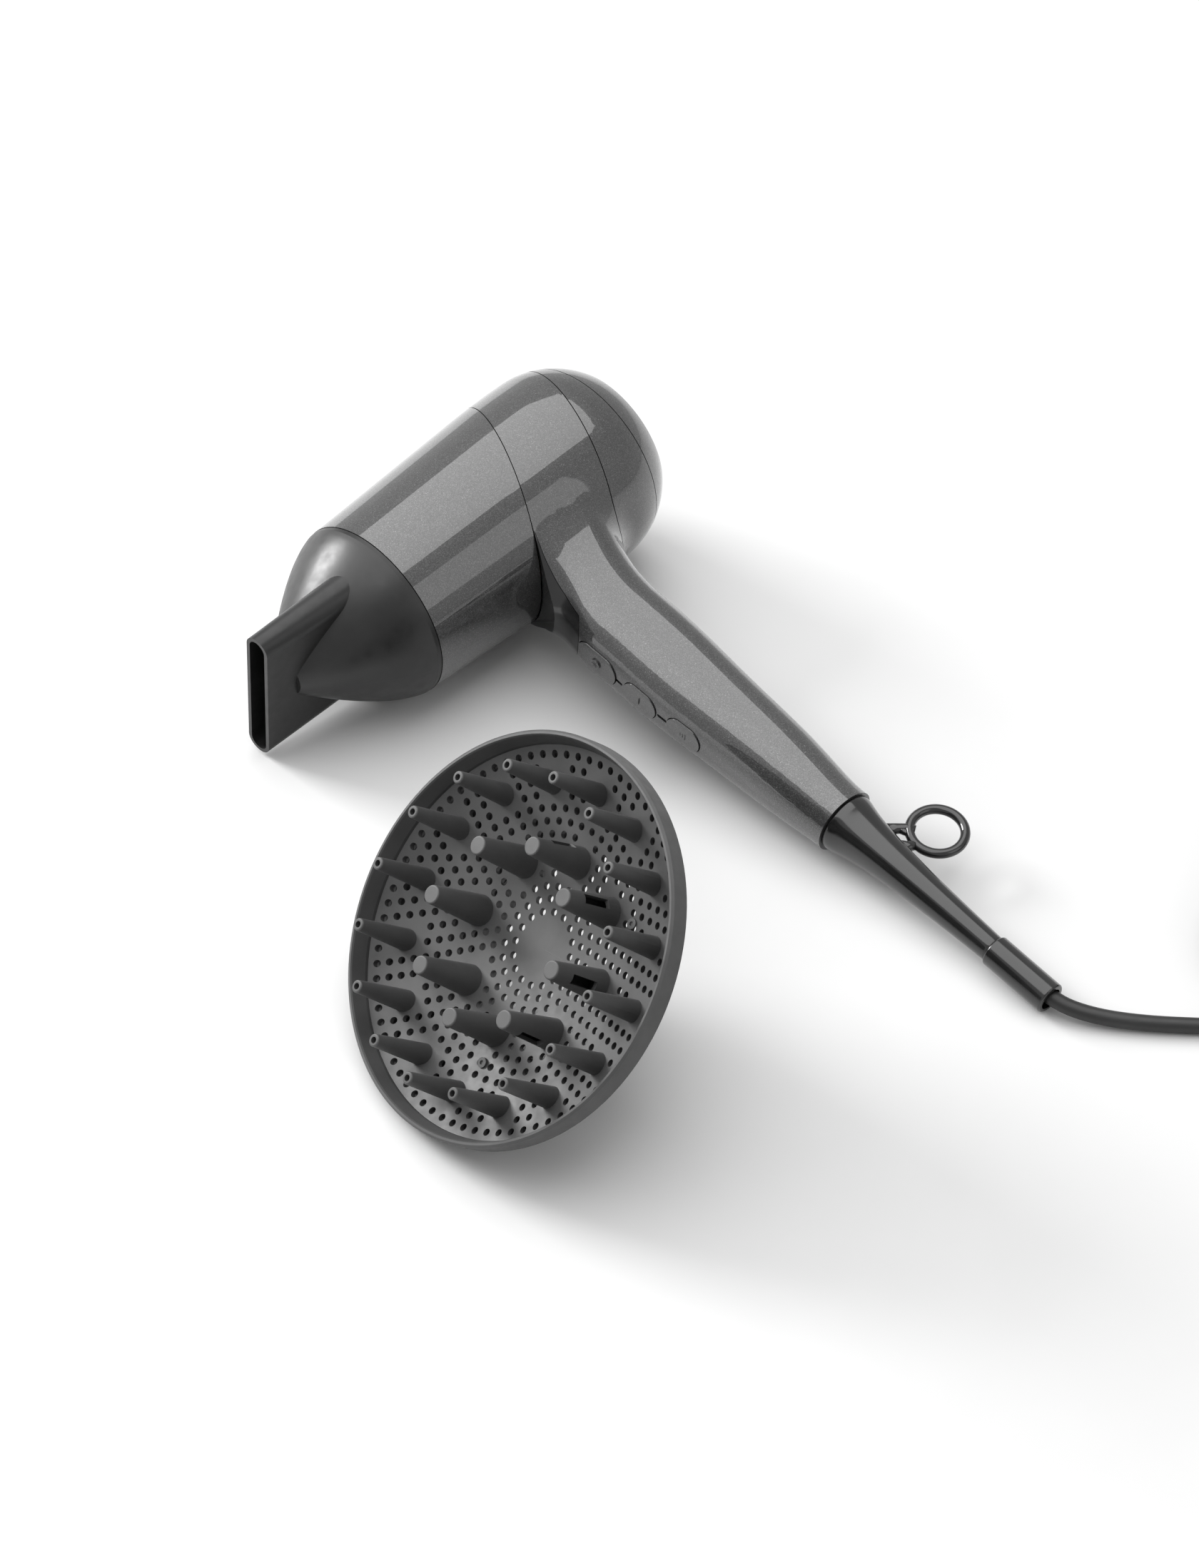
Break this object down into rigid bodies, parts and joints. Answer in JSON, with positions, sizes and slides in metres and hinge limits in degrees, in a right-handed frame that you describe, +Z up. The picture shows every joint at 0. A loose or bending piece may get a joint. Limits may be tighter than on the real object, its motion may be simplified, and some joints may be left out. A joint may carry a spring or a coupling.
{
  "type": "hair dryer",
  "caption": "Hand-held hair dryer on its side with a flat concentrator nozzle, push buttons, hanging loop, mains cord and a loose fingered diffuser.",
  "frame": {"origin": "centre of the footprint of the dryer and its diffuser on the surface that they lie on, cord left out", "axes": "+Z up from the surface, +X down the handle, +Y from the nozzle towards the rear filter"},
  "size_m": [0.4346, 0.3423, 0.1119],
  "materials": {
    "graphite_lacquer": "metallic graphite flake under a clear gloss coat",
    "satin_black": "satin moulded plastic",
    "gloss_black": "polished moulded plastic",
    "diffuser_grey": "fine matte moulded plastic",
    "cord_black": "satin flexible sheath",
    "mica": "pressed mica board",
    "heater_wire": "drawn resistance wire",
    "steel": "bright steel",
    "circuit_green": "solder mask over glass fibre board",
    "soft_rubber": "soft rubber",
    "inner_plastic": "heat resistant moulded plastic",
    "wire_sheath": "silicone sheath"
  },
  "bodies": {
    "casing": {"barrel_front": "graphite_lacquer", "handle_shell_left": "graphite_lacquer", "handle_shell_right": "graphite_lacquer", "rear_cap": "graphite_lacquer", "back_strip": "graphite_lacquer", "throat_insert": "gloss_black", "cord_boot": "gloss_black", "cord_collar": "gloss_black", "hanging_loop": "gloss_black", "outlet_grille": "inner_plastic", "mica_tube": "mica", "mica_cross": "mica", "heater_coils": "heater_wire", "thermal_cutout": "steel", "stator_duct": "inner_plastic", "motor_mount": "soft_rubber", "motor_can": "steel", "intake_guard": "inner_plastic", "switch_board": "circuit_green", "switch_housings": "inner_plastic", "lead_wires": "wire_sheath", "cord_clamp": "inner_plastic", "shell_screws": "steel", "mains_cord": "cord_black", "cord_coil": "cord_black", "plug_body": "cord_black", "plug_pins": "steel"},
    "nozzle_ring": {"nozzle_snap_ring": "steel"},
    "nozzle": {"nozzle": "satin_black"},
    "rotor": {"rotor_shaft": "steel", "armature": "heater_wire", "fan_wheel": "inner_plastic", "fan_nut": "steel"},
    "filter": {"filter_cover": "graphite_lacquer", "filter_mesh": "steel"},
    "cool_shot": {"cool_shot_button": "graphite_lacquer", "cool_shot_plunger": "inner_plastic"},
    "heat": {"heat_button": "graphite_lacquer", "heat_plunger": "inner_plastic"},
    "speed": {"speed_button": "graphite_lacquer", "speed_plunger": "inner_plastic"},
    "diffuser": {"diffuser_bowl": "diffuser_grey", "diffuser_collar": "diffuser_grey", "diffuser_plate": "diffuser_grey", "diffuser_outer_fingers": "diffuser_grey", "diffuser_inner_fingers": "diffuser_grey", "diffuser_screws": "diffuser_grey"}
  },
  "joints": [
    {"name": "nozzle_pull", "type": "slide", "parent": "casing", "child": "nozzle_ring", "axis": [0, -0.9986, -0.0523], "range_m": [0, 0.03]},
    {"name": "nozzle_turn", "type": "hinge", "parent": "nozzle_ring", "child": "nozzle", "pos_m": [-0.12743, 0.01202, 0.03705], "axis": [0, -0.9986, -0.0523], "continuous": true},
    {"name": "fan_spin", "type": "hinge", "parent": "casing", "child": "rotor", "pos_m": [-0.12743, 0.0999, 0.04166], "axis": [0, -0.9986, -0.0523], "continuous": true},
    {"name": "filter_pull", "type": "slide", "parent": "casing", "child": "filter", "axis": [0, 0.9986, 0.0523], "range_m": [0, 0.03]},
    {"name": "cool_shot_press", "type": "slide", "parent": "casing", "child": "cool_shot", "axis": [0, 0.9986, 0.0523], "range_m": [0, 0.0012], "stiffness_N_per_m": 1200, "springref_m": -0.0005},
    {"name": "heat_press", "type": "slide", "parent": "casing", "child": "heat", "axis": [0, 0.9986, 0.0523], "range_m": [0, 0.0012], "stiffness_N_per_m": 1200, "springref_m": -0.0005},
    {"name": "speed_press", "type": "slide", "parent": "casing", "child": "speed", "axis": [0, 0.9986, 0.0523], "range_m": [0, 0.0012], "stiffness_N_per_m": 1200, "springref_m": -0.0005},
    {"name": "diffuser_lift", "type": "slide", "parent": "casing", "child": "diffuser", "axis": [0, 0, 1], "range_m": [0, 0.12]}
  ]
}
